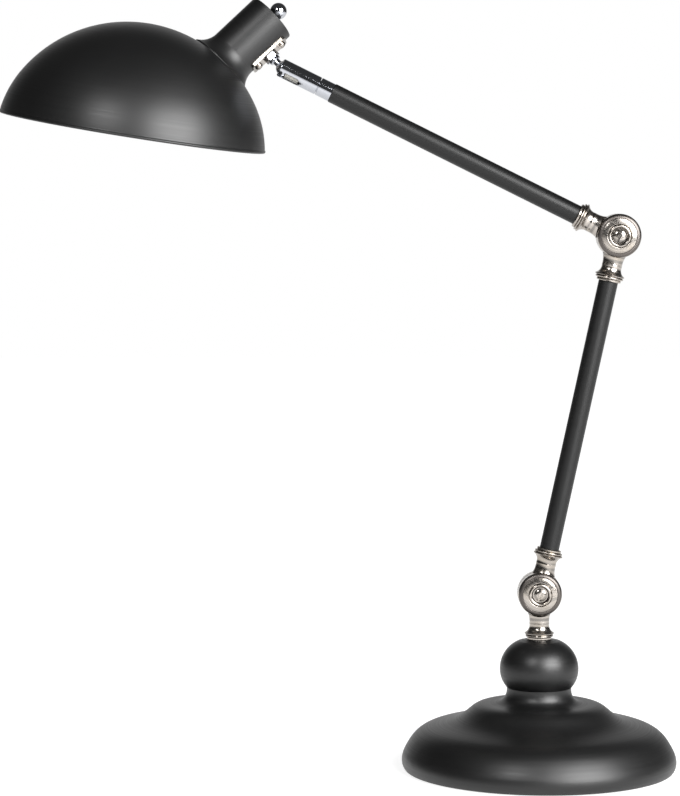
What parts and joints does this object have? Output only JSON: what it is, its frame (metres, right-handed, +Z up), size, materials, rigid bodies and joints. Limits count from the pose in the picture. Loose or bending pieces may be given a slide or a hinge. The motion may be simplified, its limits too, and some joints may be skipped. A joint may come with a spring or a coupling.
{
  "type": "desk lamp",
  "caption": "Jointed desk lamp: weighted dome base, two tubes on friction knuckles, ball joint and a tilting dome shade with a switch knob.",
  "frame": {"origin": "on the table, under the axis of the round base", "axes": "+Z up; the arms lie in the XZ plane with the head towards -X; -Y is the front"},
  "size_m": [0.5539, 0.2354, 0.634],
  "materials": {
    "black_paint": "satin enamel",
    "shade_paint": "satin enamel, white inside",
    "nickel": "polished nickel plate with fine turning marks",
    "chrome": "mirror polished",
    "iron": "as cast",
    "zinc_steel": "zinc plated, dull",
    "bush_rubber": "matt",
    "felt": "felt",
    "fibre": "matt fibre",
    "seat_plastic": "matt, slightly waxy",
    "switch_plastic": "moulded matt",
    "holder_plastic": "moulded gloss",
    "brass": "plain, a little dull"
  },
  "bodies": {
    "base": {"base_shell": "black_paint", "base_ball": "black_paint", "base_weight": "iron", "bottom_plate": "zinc_steel", "plate_screws": "zinc_steel", "felt_pad": "felt", "stem": "zinc_steel", "stem_washer": "zinc_steel", "stem_nut": "zinc_steel", "inlet_bush": "bush_rubber", "base_knuckle": "nickel"},
    "lower_arm": {"lower_arm_foot": "nickel", "lower_tube": "black_paint", "lower_arm_top": "nickel", "pivot_screws": "nickel", "pivot_cups": "nickel", "friction_washers": "fibre", "spring_washers": "zinc_steel", "pivot_nuts": "zinc_steel"},
    "upper_arm": {"upper_arm_foot": "nickel", "upper_tube": "black_paint", "ferrule": "chrome", "sleeve_retainer": "zinc_steel"},
    "sleeve": {"ball_sleeve": "chrome", "ball_seat": "seat_plastic", "disc_springs": "zinc_steel"},
    "stud": {"ball_stud": "chrome", "stud_nut": "zinc_steel"},
    "head": {"bracket_plate": "nickel", "bracket_screws": "nickel", "saddle_washer": "zinc_steel", "neck": "black_paint", "neck_cap": "black_paint", "shade": "shade_paint", "lampholder": "holder_plastic", "socket_shell": "brass", "centre_contact": "brass", "holder_ring": "zinc_steel", "switch_body": "switch_plastic"},
    "knob": {"switch_knob": "chrome"}
  },
  "joints": [
    {"name": "lower_knuckle", "type": "hinge", "parent": "base", "child": "lower_arm", "pos_m": [0, 0, 0.1464], "axis": [0, 1, 0], "range_deg": [-50, 67]},
    {"name": "elbow", "type": "hinge", "parent": "lower_arm", "child": "upper_arm", "pos_m": [0.0631, 0, 0.44071], "axis": [0, -1, 0], "range_deg": [-76, 40]},
    {"name": "sleeve_turn", "type": "hinge", "parent": "upper_arm", "child": "sleeve", "pos_m": [-0.21054, 0, 0.57655], "axis": [-0.8957, 0, 0.4446], "range_deg": [-90, 90]},
    {"name": "head_tilt", "type": "hinge", "parent": "sleeve", "child": "stud", "pos_m": [-0.21054, 0, 0.57655], "axis": [-0.272, 0.7911, -0.5479], "range_deg": [-58, 12]},
    {"name": "head_spin", "type": "hinge", "parent": "stud", "child": "head", "pos_m": [-0.21054, 0, 0.57655], "axis": [-0.6933, 0.2338, 0.6817], "range_deg": [-60, 60]},
    {"name": "switch_turn", "type": "hinge", "parent": "head", "child": "knob", "pos_m": [-0.21484, 0.01332, 0.62379], "axis": [0.7179, 0.1409, 0.6818], "continuous": true}
  ]
}
